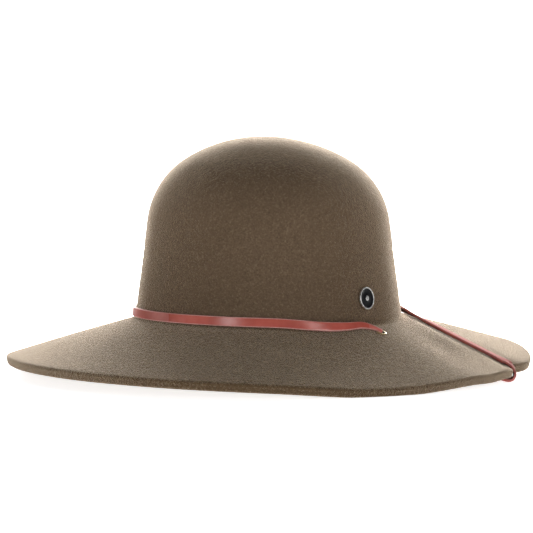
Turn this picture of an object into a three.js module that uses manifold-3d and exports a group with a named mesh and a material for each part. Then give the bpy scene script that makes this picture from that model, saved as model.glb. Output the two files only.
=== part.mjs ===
// A wool felt hat with an open round crown and a wide drooping brim, both one piece of felt.
// A flat leather lace goes round the foot of the crown, leaves it behind the wearer's left side, crosses
// the brim to its edge, turns under it and comes up again through an eyelet beside the crown. Drawn tight,
// it lifts the felt under it into a crease. A round enamelled badge is pinned to the crown.
// Millimetres, +Z up. The hat faces -Y and lies on its brim at z = 0, with the origin under its middle.
import * as THREE from 'three';
import { LoftGeometry } from 'three/addons/geometries/LoftGeometry.js';
import { mergeVertices } from 'three/addons/utils/BufferGeometryUtils.js';
import Module from 'manifold-3d';

const radians = THREE.MathUtils.degToRad;

// The head opening, inside the foot of the crown
const HEAD_WIDTH = 167;
const HEAD_LENGTH = 200;

// The felt
const FELT = 3;
const CROWN_HEIGHT = 117.5;
const DOME_RADIUS = 102;
const SHOULDER_RADIUS = 54;
const WALL_TAPER = radians(7.25);
const THROAT_RADIUS = 3;
const BREAK_HEIGHT = 34.5;
const CROWN_LEAN = -3.4;
const BRIM_WIDTH = 83;
const BRIM_SLOPE_INNER = radians(22);
const BRIM_SLOPE_OUTER = radians(11.5);

// The edge of the brim is turned under and pressed into a hem
const HEM_WIDTH = 9;
const HEM_THICKNESS = 6;
const HEM_CORNER = 1.8;
const HEM_FOOT = 2.5;

// How high the brim's edge is above what the hat lies on, going round from the front to the wearer's left,
// and how far the middle of the brim bellies up there. Below zero the felt is pressed flat.
const WAVES = [
  { at: 0, edge: 3, belly: 0 },
  { at: 22.5, edge: -0.9, belly: 0 },
  { at: 45, edge: 2.2, belly: 0 },
  { at: 67.5, edge: 2.9, belly: 0 },
  { at: 90, edge: 6.5, belly: 0.6 },
  { at: 112.5, edge: 10, belly: 2.8 },
  { at: 135, edge: 8.5, belly: 2.4 },
  { at: 157.5, edge: 2, belly: 1 },
  { at: 180, edge: -0.9, belly: 0 },
  { at: 202.5, edge: -0.9, belly: 0 },
  { at: 225, edge: -0.7, belly: 0 },
  { at: 247.5, edge: 2, belly: 2 },
  { at: 270, edge: 5.4, belly: 2.6 },
  { at: 292.5, edge: 6.4, belly: 0.5 },
  { at: 315, edge: 6.2, belly: 0 },
  { at: 337.5, edge: 5.2, belly: 0 },
];
const LIFT_AT_BREAK = 0.4;
const LIFT_UP_WALL = 40;

// The lace, and where it turns under the brim's edge
const LACE_WIDTH = 5.9;
const LACE_THICKNESS = 1.9;
const LACE_BEVEL = 0.4;
const LACE_ROUND = 1.3;
const LACE_RISE = 1;
const LACE_LEAVES_UP = 6.9;
const LACE_DIPS = 3;
const LACE_STANDS_OFF = 4.2;
const LACE_LEAN = radians(9);
const NOTCH_AT = radians(68);
const NOTCH_DEPTH = 8;
const NOTCH_SPREAD = 9;
const WRAP_SLACK = 0.6;
const CLEAR_BELOW = 0.1;
const WRAP_DRIFT = 18;
const WALL_TO_EYELET = radians(9);
const UNDER_START = 14;

// The folds that the tight lace pulls into the brim: how high each is, how far it lies in front of the lace
// and how wide it is, as shares of the crease's height and width, and how much of it reaches the edge
const CREASE_HEIGHT = 1.5;
const CREASE_WIDTH = 6;
const CREASE_LENGTH = 170;
const CREASE_FOLDS = [
  { name: 'groove', height: -1.7, ahead: 0.5, width: 1.1, atEdge: 0.2 },
  { name: 'ridge', height: 0.75, ahead: 3.2, width: 1.5, atEdge: 0.4 },
  { name: 'hollow', height: -0.8, ahead: 6.6, width: 1.9, atEdge: 0.4 },
];

// The eyelet in the brim
const EYELET_AT = radians(46);
const EYELET_OUT = 9.5;
const EYELET_HOLE = 2.3;
const EYELET_WALL = 0.4;
const EYELET_FLANGE = 3.4;
const EYELET_LIP = 0.8;
const LACE_IN_HOLE = 0.7;

// The badge on the crown, and the plain button inside that holds its post
const BADGE_AT = radians(45.5);
const BADGE_HEIGHT = 17;
const BADGE_RADIUS = 7;
const BADGE_THICKNESS = 1.5;
const BADGE_RIM = 0.8;
const ENAMEL_DEPTH = 0.8;
const ENAMEL_THICKNESS = 0.4;
const STUD_RADIUS = 1.6;
const POST_RADIUS = 0.9;
const BUTTON_RADIUS = 4;
const BUTTON_THICKNESS = 1.2;

const GAP = 0.3;

// Mesh steps
const AROUND = 72;
const AROUND_CROWDING = 0.55;
const SHEAR_REACH = radians(90);
const CREASE_REACH = 18;
const LACE_STEP = radians(4.5);
const WRAP_STEPS = 8;
const CHORD_STEPS = 14;
const ROUND_STEPS = 20;

const base = { x: HEAD_WIDTH / 2 + FELT, y: HEAD_LENGTH / 2 + FELT };

const felt = new THREE.MeshStandardMaterial({ color: 0x5f5040, roughness: 0.95, metalness: 0 });
const leather = new THREE.MeshStandardMaterial({ color: 0x8e443a, roughness: 0.45, metalness: 0 });
const goldMetal = new THREE.MeshStandardMaterial({ color: 0xc9b48a, roughness: 0.3, metalness: 1 });
const darkMetal = new THREE.MeshStandardMaterial({ color: 0x8d8c8e, roughness: 0.3, metalness: 1 });
const enamel = new THREE.MeshStandardMaterial({ color: 0x12141b, roughness: 0.2, metalness: 0 });

// The felt's outline in one upright section, from the top of the crown to the edge of the brim. Its x is
// the distance out from the hat's middle, as it is at the wearer's side, and its y is the height above the
// break, which is the corner where the crown's wall would meet the brim.
function outsideCurves() {
  const wallOut = new THREE.Vector2(Math.cos(WALL_TAPER), Math.sin(WALL_TAPER));
  const wallUp = new THREE.Vector2(-Math.sin(WALL_TAPER), Math.cos(WALL_TAPER));
  const foot = new THREE.Vector2(base.x, 0);
  const domeCentre = new THREE.Vector2(0, CROWN_HEIGHT - DOME_RADIUS);
  const startCentre = foot.clone().addScaledVector(wallOut, -SHOULDER_RADIUS);
  const toStart = startCentre.clone().sub(domeCentre);
  const along = toStart.dot(wallUp);
  const reach = (DOME_RADIUS - SHOULDER_RADIUS) ** 2 - toStart.lengthSq();
  const rise = -along + Math.sqrt(along ** 2 + reach);
  const shoulderCentre = startCentre.clone().addScaledVector(wallUp, rise);
  const domeEnd = shoulderCentre.clone().sub(domeCentre).angle();

  const turn = Math.PI / 2 - WALL_TAPER - BRIM_SLOPE_INNER;
  const throatReach = THROAT_RADIUS * Math.tan(turn / 2);
  const throatTop = foot.clone().addScaledVector(wallUp, throatReach);
  const throatCentre = throatTop.clone().addScaledVector(wallOut, THROAT_RADIUS);
  const brimDown = new THREE.Vector2(Math.cos(BRIM_SLOPE_INNER), -Math.sin(BRIM_SLOPE_INNER));
  const brimStart = foot.clone().addScaledVector(brimDown, throatReach);

  // The brim is a parabola between its two slopes, and its last stretch turns down round the hem's corner
  const edgeDown = new THREE.Vector2(Math.cos(BRIM_SLOPE_OUTER), -Math.sin(BRIM_SLOPE_OUTER));
  const edgeUp = new THREE.Vector2(Math.sin(BRIM_SLOPE_OUTER), Math.cos(BRIM_SLOPE_OUTER));
  const cornerBack = HEM_CORNER - HEM_CORNER * Math.sin(BRIM_SLOPE_OUTER);
  const brimLevel = base.x + BRIM_WIDTH - cornerBack - brimStart.x;
  const bend = new THREE.Vector2(brimStart.x + brimLevel / 2, 0);
  bend.y = brimStart.y - (brimLevel / 2) * Math.tan(BRIM_SLOPE_INNER);
  const brimEnd = new THREE.Vector2(brimStart.x + brimLevel, 0);
  brimEnd.y = bend.y - (brimLevel / 2) * Math.tan(BRIM_SLOPE_OUTER);

  const dome = new THREE.EllipseCurve(
    domeCentre.x, domeCentre.y, DOME_RADIUS, DOME_RADIUS, Math.PI / 2, domeEnd, true);
  const shoulder = new THREE.EllipseCurve(
    shoulderCentre.x, shoulderCentre.y, SHOULDER_RADIUS, SHOULDER_RADIUS, domeEnd, WALL_TAPER, true);
  const throat = new THREE.EllipseCurve(
    throatCentre.x, throatCentre.y, THROAT_RADIUS, THROAT_RADIUS,
    Math.PI + WALL_TAPER, Math.PI * 1.5 - BRIM_SLOPE_INNER, false);
  return {
    curves: [
      { curve: dome, steps: 6 },
      { curve: shoulder, steps: 4 },
      { curve: new THREE.LineCurve(shoulder.getPoint(1), throatTop), steps: 3 },
      { curve: throat, steps: 2 },
      { curve: new THREE.QuadraticBezierCurve(brimStart, bend, brimEnd), steps: 9 },
    ],
    brimEnd,
    edgeDown,
    edgeUp,
  };
}

// The outline's points, outside and inside. The inside is the outside set in by the felt's thickness, and
// the hem hangs below it along the edge.
function outlines() {
  const { curves, brimEnd, edgeDown, edgeUp } = outsideCurves();
  const outside = [];
  const inside = [];
  curves.forEach(({ curve, steps }, index) => {
    for (let step = index === 0 ? 0 : 1; step <= steps; step += 1) {
      const share = step / steps;
      const point = curve.getPoint(share);
      const along = curve.getTangent(share);
      outside.push(point);
      inside.push(point.clone().add(new THREE.Vector2(along.y, -along.x).multiplyScalar(FELT)));
    }
  });
  outside[0].x = 0;
  inside[0].x = 0;

  // The hem: a corner at the top of the edge, another at its foot, and a rounded step up to the underside
  const hem = [];
  const inHem = (across, down) => brimEnd.clone().addScaledVector(edgeDown, across).addScaledVector(edgeUp, -down);
  for (const turn of [30, 60, 90].map(radians))
    hem.push(inHem(HEM_CORNER * Math.sin(turn), HEM_CORNER * (1 - Math.cos(turn))));
  for (const turn of [0, 45, 90].map(radians))
    hem.push(inHem(HEM_CORNER * Math.cos(turn), HEM_THICKNESS - HEM_CORNER * (1 - Math.sin(turn))));
  hem.push(inHem(-HEM_FOOT, HEM_THICKNESS));
  hem.push(inHem(HEM_CORNER - HEM_WIDTH, HEM_THICKNESS));
  hem.push(inHem(HEM_CORNER / 2 - HEM_WIDTH, (HEM_THICKNESS + FELT) / 2));
  const hemStart = inHem(-HEM_WIDTH, FELT);
  const underside = inside.filter((point) => point.x < hemStart.x - HEM_CORNER);
  const hemMiddle = inHem(HEM_CORNER - HEM_THICKNESS / 2, HEM_THICKNESS / 2);
  const hemFoot = inHem(HEM_CORNER - HEM_WIDTH, HEM_THICKNESS);
  return { outside, inside: [...underside, hemStart], hem, hemMiddle, hemFoot };
}

const outline = outlines();
const edgeFoot = Math.min(...outline.hem.map((point) => point.y));

// A height on the outline at a distance out from the middle, for the brim only
function brimHeight(points, out) {
  const next = points.findIndex((point, index) => index > 0 && point.x >= out && points[index - 1].x <= out);
  const [low, high] = [points[next - 1], points[next]];
  return THREE.MathUtils.mapLinear(out, low.x, high.x, low.y, high.y);
}

// One column of the table of waves at an angle, on a smooth closed curve through its rows
function waveAt(angle, column) {
  const count = WAVES.length;
  const place = THREE.MathUtils.euclideanModulo(THREE.MathUtils.radToDeg(angle), 360) / (360 / count);
  const row = Math.floor(place);
  const [before, low, high, after] = [-1, 0, 1, 2].map((step) => WAVES[(row + step + count) % count][column]);
  const share = place - row;
  const slopeLow = (high - before) / 2;
  const slopeHigh = (after - low) / 2;
  const bulge = 3 * (high - low) - 2 * slopeLow - slopeHigh;
  const close = 2 * (low - high) + slopeLow + slopeHigh;
  return low + share * (slopeLow + share * (bulge + share * close));
}

// How much of that lift a point takes, by its distance out from the middle and height above the break
function liftShare(out, height) {
  const across = THREE.MathUtils.clamp((out - base.x) / BRIM_WIDTH, 0, 1);
  const upWall = THREE.MathUtils.clamp(1 - height / LIFT_UP_WALL, 0, 1);
  if (height > 0) return LIFT_AT_BREAK * upWall ** 2;
  return LIFT_AT_BREAK + (1 - LIFT_AT_BREAK) * across ** 1.4;
}

// The angle, between two others, at which a level line crosses the felt at a distance out from the middle
function angleOnLine(out, point, side, low, high) {
  const beside = (angle) => planPoint(out, angle).sub(point).dot(side);
  let [near, far] = [low, high];
  for (let halving = 0; halving < 30; halving += 1) {
    const middle = (near + far) / 2;
    if (beside(middle) * beside(near) > 0) near = middle;
    else far = middle;
  }
  return near;
}

// A plan position: the head's oval, narrowing to a point at the top, with the brim the same width all round
function planPoint(out, angle) {
  const inward = THREE.MathUtils.clamp(1 - out / base.x, 0, 1);
  const halfWidth = Math.min(out, base.x);
  const halfLength = halfWidth + (base.y - base.x) * (1 - inward ** 2);
  const point = new THREE.Vector2(halfWidth * Math.sin(angle), -halfLength * Math.cos(angle));
  const beyond = Math.max(0, out - base.x);
  return point.addScaledVector(planOutward(angle), beyond);
}

function planOutward(angle) {
  return new THREE.Vector2(base.y * Math.sin(angle), -base.x * Math.cos(angle)).normalize();
}

// The lace's straight way across the brim, from the notch to where it meets the crown's oval at a tangent
const laceOut = GAP + LACE_THICKNESS / 2;
const notch = planPoint(base.x + BRIM_WIDTH, NOTCH_AT).addScaledVector(planOutward(NOTCH_AT), -NOTCH_DEPTH);
const laceMid = LACE_RISE + LACE_WIDTH / 2;
const laceOval = {
  x: base.x + laceOut - (laceMid + LACE_LEAVES_UP) * Math.tan(WALL_TAPER),
  y: base.y + laceOut - (laceMid + LACE_LEAVES_UP) * Math.tan(WALL_TAPER),
};
const towards = new THREE.Vector2(notch.x / laceOval.x, -notch.y / laceOval.y);
const LEAVE_AT = Math.atan2(towards.x, towards.y) + Math.acos(1 / towards.length());
const leave = new THREE.Vector2(laceOval.x * Math.sin(LEAVE_AT), -laceOval.y * Math.cos(LEAVE_AT));
const laceWay = leave.clone().sub(notch).normalize();
const laceSide = new THREE.Vector2(-laceWay.y, laceWay.x);

// The lift of the creased felt at a plan position
function creaseLift(point) {
  const from = point.clone().sub(notch);
  const along = from.dot(laceWay) / CREASE_LENGTH;
  const ahead = from.dot(laceSide) / CREASE_WIDTH;
  const fade = THREE.MathUtils.clamp(1 - along, 0, 1) ** 0.5;
  const inward = THREE.MathUtils.smoothstep(along, 0, 0.2);
  const shape = CREASE_FOLDS.reduce((sum, fold) => {
    const apart = (ahead - fold.ahead) / fold.width;
    const height = fold.height * THREE.MathUtils.lerp(fold.atEdge, 1, inward);
    return sum + height * Math.exp(-(apart ** 2));
  }, 0);
  return CREASE_HEIGHT * fade * shape;
}

// A point of the felt in space, from its place in the section and its angle
function feltPoint({ x: out, y: height }, angle) {
  const plan = planPoint(out, angle);
  const across = THREE.MathUtils.clamp((out - base.x) / BRIM_WIDTH, 0, 1.1);
  const meanLift = BREAK_HEIGHT + edgeFoot;
  let z = BREAK_HEIGHT + height + (waveAt(angle, 'edge') - meanLift) * liftShare(out, height);
  if (across > 0) {
    z += waveAt(angle, 'belly') * Math.max(0, 4 * across * (1 - across));
    z += creaseLift(plan) * Math.min(1, across * 3);
    const edgeNotch = planPoint(base.x + BRIM_WIDTH, NOTCH_AT);
    const along = plan.distanceTo(edgeNotch) / NOTCH_SPREAD;
    const pull = NOTCH_DEPTH * Math.exp(-(along ** 2) / 2);
    plan.addScaledVector(planOutward(NOTCH_AT), -pull);
  }
  const climb = THREE.MathUtils.clamp(height / CROWN_HEIGHT, 0, 1);
  return new THREE.Vector3(plan.x + CROWN_LEAN * climb ** 6, plan.y, Math.max(z, 0));
}

// A point on the wall outside, the direction out of the felt there, and the direction up it
function wallFrame(height, angle) {
  const onWall = (up) => ({ x: base.x - up * Math.tan(WALL_TAPER), y: up });
  const at = feltPoint(onWall(height), angle);
  const up = feltPoint(onWall(height + 1), angle).sub(at).normalize();
  const round = feltPoint(onWall(height), angle + 0.01).sub(at).normalize();
  return { at, up, out: round.clone().cross(up).normalize() };
}

// A point on the top or the underside of the brim, and the direction out of the felt there
function brimFrame(points, out, angle, outwards) {
  const place = (far, turn) => feltPoint({ x: far, y: brimHeight(points, far) }, turn);
  const at = place(out, angle);
  const away = place(out + 1, angle).sub(at);
  const round = place(out, angle + 0.01).sub(at);
  return { at, out: round.cross(away).normalize().multiplyScalar(-outwards) };
}

// The angles of the felt's sections from the notch, closer together round it
function feltAngles() {
  const angles = [];
  for (let step = 0; step < AROUND; step += 1) {
    const even = ((step + 0.5) / AROUND) * 2 * Math.PI - Math.PI;
    angles.push(even - AROUND_CROWDING * Math.sin(even));
  }
  return angles;
}

// How far a section is turned at a distance out from the middle, so that those near the notch run along
// the crease
function sectionTurn(fromNotch, out) {
  const bent = Math.max(out, base.x + CREASE_REACH);
  const onCrease = angleOnLine(bent, notch, laceSide, NOTCH_AT - SHEAR_REACH, LEAVE_AT);
  const share = Math.cos(THREE.MathUtils.clamp(fromNotch / SHEAR_REACH, -1, 1) * (Math.PI / 2)) ** 2;
  return (onCrease - NOTCH_AT) * share;
}

// A solid for cutting with, from a closed geometry
const wasm = await Module();
wasm.setup();
function solidOf(geometry) {
  const bare = new THREE.BufferGeometry().setAttribute('position', geometry.getAttribute('position'));
  bare.setIndex(geometry.getIndex());
  const merged = mergeVertices(bare, 1e-3);
  return new wasm.Manifold(new wasm.Mesh({
    numProp: 3,
    vertProperties: new Float32Array(merged.attributes.position.array),
    triVerts: new Uint32Array(merged.index.array),
  }));
}

function geometryOf(solid) {
  const mesh = solid.getMesh();
  const geometry = new THREE.BufferGeometry();
  geometry.setAttribute('position', new THREE.BufferAttribute(mesh.vertProperties, 3));
  geometry.setIndex(new THREE.BufferAttribute(mesh.triVerts, 1));
  return geometry;
}

// A matrix that stands a lathed piece, whose axis is +Y, along a direction at a point
function standing(at, along) {
  const turn = new THREE.Quaternion().setFromUnitVectors(new THREE.Vector3(0, 1, 0), along);
  return new THREE.Matrix4().compose(at, turn, new THREE.Vector3(1, 1, 1));
}

// Where the eyelet and the badge sit
const eyeletSeat = brimFrame(outline.outside, base.x + EYELET_OUT, EYELET_AT, 1);
const badgeSeat = wallFrame(BADGE_HEIGHT, BADGE_AT);

function feltGeometry() {
  const profile = [...outline.outside, ...outline.hem, ...outline.inside.slice().reverse()];
  const turned = (angle, out) => NOTCH_AT + angle + sectionTurn(angle, out);
  const sections = feltAngles().map((angle) => profile.map((point) => feltPoint(point, turned(angle, point.x))));
  const shell = new LoftGeometry([...sections, sections[0]], { closed: false });
  const drill = (radius, seat) => solidOf(
    new THREE.CylinderGeometry(radius, radius, FELT * 4, ROUND_STEPS).applyMatrix4(standing(seat.at, seat.out)));
  const eyeletHole = drill(EYELET_HOLE + EYELET_WALL + GAP, eyeletSeat);
  const postHole = drill(POST_RADIUS + GAP, badgeSeat);
  return geometryOf(solidOf(shell).subtract(eyeletHole).subtract(postHole));
}

// A ring or disc turned from its half section, standing on a seat in the felt
function turned(seat, points) {
  const half = points.map(([x, y]) => new THREE.Vector2(x, y));
  return new THREE.LatheGeometry([...half, half[0]], ROUND_STEPS).applyMatrix4(standing(seat.at, seat.out));
}

// The lace's stations: a place for the middle of its section, the way its smooth side faces, and how far
// it is rolled up into a round
function laceStations() {
  const stations = [];
  const add = (at, out, rolled = 0) => stations.push({ at, out: out.clone().normalize(), rolled });
  const seatOn = ({ at, out }, off = 0) => at.clone().addScaledVector(out, laceOut + off);

  // Round the crown, a little higher where it leaves and lower where it comes to the eyelet
  const wallEnd = EYELET_AT + 2 * Math.PI - WALL_TO_EYELET;
  const onWall = (angle) => {
    const left = THREE.MathUtils.smoothstep(LEAVE_AT + radians(90) - angle, 0, radians(90));
    const dips = THREE.MathUtils.smoothstep(angle - wallEnd, -radians(35), 0);
    const frame = wallFrame(laceMid + LACE_LEAVES_UP * left - LACE_DIPS * dips, angle);
    frame.at.addScaledVector(frame.out, LACE_STANDS_OFF * dips);
    frame.out.addScaledVector(frame.up, dips * 0.4).normalize();
    return frame;
  };
  const steps = Math.round((wallEnd - LEAVE_AT) / LACE_STEP);
  for (let step = 0; step <= steps; step += 1) {
    const frame = onWall(LEAVE_AT + ((wallEnd - LEAVE_AT) * step) / steps);
    add(seatOn(frame), frame.out, THREE.MathUtils.smoothstep(step - steps, -3, 1) * 0.4);
  }

  // Down through the eyelet
  const last = stations[stations.length - 1];
  const onward = last.at.clone().sub(stations[stations.length - 2].at).normalize();
  const eyeletMid = eyeletSeat.at.clone().addScaledVector(eyeletSeat.out, -FELT / 2)
    .addScaledVector(onward, -LACE_IN_HOLE);
  const inEyelet = (up) => eyeletMid.clone().addScaledVector(eyeletSeat.out, up);
  const straight = FELT / 2 + GAP + EYELET_LIP + 0.6;
  const forward = new THREE.Vector3(planOutward(EYELET_AT).x, planOutward(EYELET_AT).y, 0);
  const down = new THREE.CubicBezierCurve3(
    last.at, last.at.clone().addScaledVector(onward, 6),
    inEyelet(straight + 2.4).addScaledVector(onward, -1.6), inEyelet(straight));
  for (const share of [0.2, 0.4, 0.6, 0.75, 0.9, 1])
    add(down.getPoint(share), last.out.clone().lerp(forward, share), 0.4 + 0.6 * THREE.MathUtils.smoothstep(share, 0, 0.6));
  for (const share of [0.25, 0.5, 0.75, 1]) {
    const twisted = forward.clone().applyAxisAngle(eyeletSeat.out, Math.PI * share);
    add(inEyelet(THREE.MathUtils.lerp(straight, -straight, share)), twisted, 1);
  }

  // Along the underside to the brim's edge, level with the notch
  const wrapAngle = (share) => NOTCH_AT - (WRAP_DRIFT * (1 - share)) / (base.x + BRIM_WIDTH);
  const from = planPoint(base.x + EYELET_OUT, EYELET_AT);
  const wrapFrom = feltPoint(outline.hemMiddle, wrapAngle(0));
  const under = new THREE.Vector2(wrapFrom.x, wrapFrom.y).sub(from).normalize();
  const underSide = new THREE.Vector2(-under.y, under.x);
  const underPlace = (out) => {
    const angle = angleOnLine(out, from, underSide, EYELET_AT - radians(20), NOTCH_AT + radians(10));
    return brimFrame(outline.inside, out, angle, -1);
  };
  const first = underPlace(base.x + EYELET_OUT + UNDER_START);
  const next = underPlace(base.x + EYELET_OUT + UNDER_START + 5);
  const back = seatOn(first).sub(seatOn(next)).normalize();
  const across = new THREE.CubicBezierCurve3(
    inEyelet(-straight), inEyelet(-straight - 5), seatOn(first).addScaledVector(back, 6), seatOn(first));
  for (const share of [0.15, 0.35, 0.55, 0.75])
    add(across.getPoint(share), forward.clone().negate().lerp(first.out, share), 1 - THREE.MathUtils.smoothstep(share, 0, 0.9));
  const underEnd = base.x + BRIM_WIDTH - HEM_WIDTH - 12;
  const underSteps = 7;
  for (let step = 0; step <= underSteps; step += 1) {
    const out = THREE.MathUtils.lerp(base.x + EYELET_OUT + UNDER_START, underEnd, step / underSteps);
    const frame = underPlace(out);
    add(seatOn(frame), frame.out);
  }
  const belowHem = { x: outline.hemFoot.x, y: outline.hemFoot.y - laceOut - WRAP_SLACK / 2 };
  const footAngle = angleOnLine(belowHem.x, from, underSide, EYELET_AT - radians(20), NOTCH_AT + radians(10));
  add(feltPoint(belowHem, footAngle), new THREE.Vector3(0, 0, -1));

  // Round the edge
  const { x: hemX, y: hemY } = outline.hemMiddle;
  const round = HEM_THICKNESS / 2 + laceOut + WRAP_SLACK;
  for (let step = 0; step <= WRAP_STEPS; step += 1) {
    const turn = -Math.PI / 2 + (Math.PI * step) / WRAP_STEPS;
    const angle = wrapAngle(step / WRAP_STEPS);
    const place = { x: hemX + round * Math.cos(turn), y: hemY + round * Math.sin(turn) };
    const at = feltPoint(place, angle);
    const outward = planOutward(angle).multiplyScalar(Math.cos(turn));
    add(at, new THREE.Vector3(outward.x, outward.y, Math.sin(turn)));
  }

  // Straight and tight to the crown, turning upright on the way
  const top = stations[stations.length - 1];
  const start = stations[0];
  for (let step = 1; step < CHORD_STEPS; step += 1) {
    const share = step / CHORD_STEPS;
    const upright = THREE.MathUtils.smoothstep(share, 0.35, 0.97) ** 2;
    const lean = THREE.MathUtils.lerp(LACE_LEAN, Math.PI / 2 - WALL_TAPER, upright);
    const aside = laceSide.clone().multiplyScalar(-Math.sin(lean));
    add(top.at.clone().lerp(start.at, share), new THREE.Vector3(aside.x, aside.y, Math.cos(lean)));
  }
  return stations;
}

// The lace as a closed loft through its stations
function laceGeometry() {
  const [wide, thick] = [LACE_WIDTH / 2, LACE_THICKNESS / 2];
  const flat = [
    [wide, thick - LACE_BEVEL], [wide - LACE_BEVEL, thick], [LACE_BEVEL - wide, thick], [-wide, thick - LACE_BEVEL],
    [-wide, LACE_BEVEL - thick], [LACE_BEVEL - wide, -thick], [wide - LACE_BEVEL, -thick], [wide, LACE_BEVEL - thick],
  ];
  const stations = laceStations();
  const count = stations.length;
  const sections = stations.map(({ at, out, rolled }, index) => {
    const before = stations[(index + count - 1) % count].at;
    const after = stations[(index + 1) % count].at;
    const along = after.clone().sub(before).normalize();
    const side = out.clone().cross(along).normalize();
    const face = along.clone().cross(side);
    const section = flat.map(([across, up], corner) => {
      const turn = Math.PI / 8 + (corner * Math.PI) / 4;
      const x = THREE.MathUtils.lerp(across, LACE_ROUND * Math.cos(turn), rolled);
      const y = THREE.MathUtils.lerp(up, LACE_ROUND * Math.sin(turn), rolled);
      return at.clone().addScaledVector(side, x).addScaledVector(face, y);
    });
    const raise = Math.max(0, CLEAR_BELOW - Math.min(...section.map((point) => point.z)));
    return section.map((point) => point.setZ(point.z + raise));
  });
  return new LoftGeometry([...sections, sections[0]], { closed: true });
}

// The eyelet: a barrel through the felt with a lip on each side of it
function eyeletGeometry() {
  const inner = FELT / 2 + GAP;
  const outer = inner + EYELET_LIP;
  const barrel = EYELET_HOLE + EYELET_WALL;
  const middle = eyeletSeat.at.clone().addScaledVector(eyeletSeat.out, -FELT / 2);
  return turned({ at: middle, out: eyeletSeat.out }, [
    [EYELET_HOLE, -outer], [EYELET_FLANGE, -outer], [EYELET_FLANGE, -inner], [barrel, -inner],
    [barrel, inner], [EYELET_FLANGE, inner], [EYELET_FLANGE, outer], [EYELET_HOLE, outer],
  ]);
}

// The badge: a round dish with a plain stud in the middle, and its post through the felt
const badgeTop = GAP + BADGE_THICKNESS;
const dishFloor = badgeTop - ENAMEL_DEPTH;
const buttonBack = -FELT - GAP - BUTTON_THICKNESS;

function badgeGeometry() {
  const inRim = BADGE_RADIUS - BADGE_RIM;
  return turned(badgeSeat, [
    [0, buttonBack], [POST_RADIUS, buttonBack], [POST_RADIUS, GAP], [BADGE_RADIUS, GAP],
    [BADGE_RADIUS, badgeTop], [inRim, badgeTop], [inRim, dishFloor], [STUD_RADIUS, dishFloor],
    [STUD_RADIUS, badgeTop], [0, badgeTop],
  ]);
}

function enamelGeometry() {
  const [low, high] = [dishFloor + GAP, dishFloor + GAP + ENAMEL_THICKNESS];
  const [inside, outside] = [STUD_RADIUS + GAP, BADGE_RADIUS - BADGE_RIM - GAP];
  return turned(badgeSeat, [[inside, low], [outside, low], [outside, high], [inside, high]]);
}

function buttonGeometry() {
  const [low, high] = [buttonBack, buttonBack + BUTTON_THICKNESS];
  return turned(badgeSeat, [
    [POST_RADIUS + GAP, low], [BUTTON_RADIUS, low], [BUTTON_RADIUS, high], [POST_RADIUS + GAP, high],
  ]);
}

const hat = new THREE.Group();

function addPiece(name, geometry, material) {
  const mesh = new THREE.Mesh(geometry, material);
  mesh.name = name;
  hat.add(mesh);
}

addPiece('felt_body', feltGeometry(), felt);
addPiece('lace', laceGeometry(), leather);
addPiece('eyelet', eyeletGeometry(), goldMetal);
addPiece('badge', badgeGeometry(), darkMetal);
addPiece('badge_enamel', enamelGeometry(), enamel);
addPiece('badge_button', buttonGeometry(), darkMetal);

export default hat;
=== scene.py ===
import math

import bmesh
import bpy
import numpy as np
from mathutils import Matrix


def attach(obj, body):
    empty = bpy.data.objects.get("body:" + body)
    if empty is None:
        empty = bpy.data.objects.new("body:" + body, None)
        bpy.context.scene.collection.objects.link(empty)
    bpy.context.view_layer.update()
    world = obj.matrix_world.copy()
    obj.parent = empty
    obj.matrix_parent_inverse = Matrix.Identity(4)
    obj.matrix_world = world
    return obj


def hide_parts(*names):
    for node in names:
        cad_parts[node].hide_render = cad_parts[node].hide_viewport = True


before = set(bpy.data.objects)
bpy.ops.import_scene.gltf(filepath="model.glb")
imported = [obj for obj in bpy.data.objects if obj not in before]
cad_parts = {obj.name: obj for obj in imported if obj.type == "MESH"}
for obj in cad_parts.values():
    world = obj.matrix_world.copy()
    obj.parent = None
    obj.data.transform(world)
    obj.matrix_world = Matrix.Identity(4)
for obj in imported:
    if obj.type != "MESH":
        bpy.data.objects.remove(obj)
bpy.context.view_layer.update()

radians = math.radians
MM = 0.001

# The soft boxes stand round the hat, each at a bearing from the camera's side that goes round to its right
SOFT_BOXES = [
    dict(name="back", bearing=177, height=0.42, far=1.8, size=(1.7, 0.7), watts=260),
    dict(name="front_left", bearing=-37, height=0.42, far=1.9, size=(0.18, 0.8), watts=8),
    dict(name="front_right", bearing=38, height=0.6, far=1.9, size=(0.18, 0.8), watts=10),
]
LIT_POINT = (0, 0, 0.06)
BACKDROP_LAMP = dict(name="back_wash", at=(0, 1.6, 2.6), aim=(0, 4.0, 0.9), size=(4.0, 0.8), watts=260)
FLOOR_GLOW = 0.8
WORLD_STRENGTH = 0.05

# The floor goes up behind the hat in a round bend
SWEEP_NEAR = -14.0
SWEEP_FAR = 4.0
SWEEP_SIDE = 6.0
SWEEP_RISE = 4.0
SWEEP_BEND = 1.2

# The camera stands in front of the hat, a little above the floor
CAMERA_AT = (-0.0013, -1.69767, 0.15642)
CAMERA_LOOKS_DOWN = radians(3)
CAMERA_SENSOR = 36
CAMERA_LENS = 176.94

camera_data = bpy.data.cameras.new("camera")
camera_data.sensor_width = CAMERA_SENSOR
camera_data.lens = CAMERA_LENS
camera_data.clip_start = 0.05
camera_data.clip_end = 50
camera = bpy.data.objects.new("camera", camera_data)
camera.location = CAMERA_AT
camera.rotation_euler = (math.pi / 2 - CAMERA_LOOKS_DOWN, 0, 0)
bpy.context.scene.collection.objects.link(camera)
bpy.context.scene.camera = camera

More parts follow.
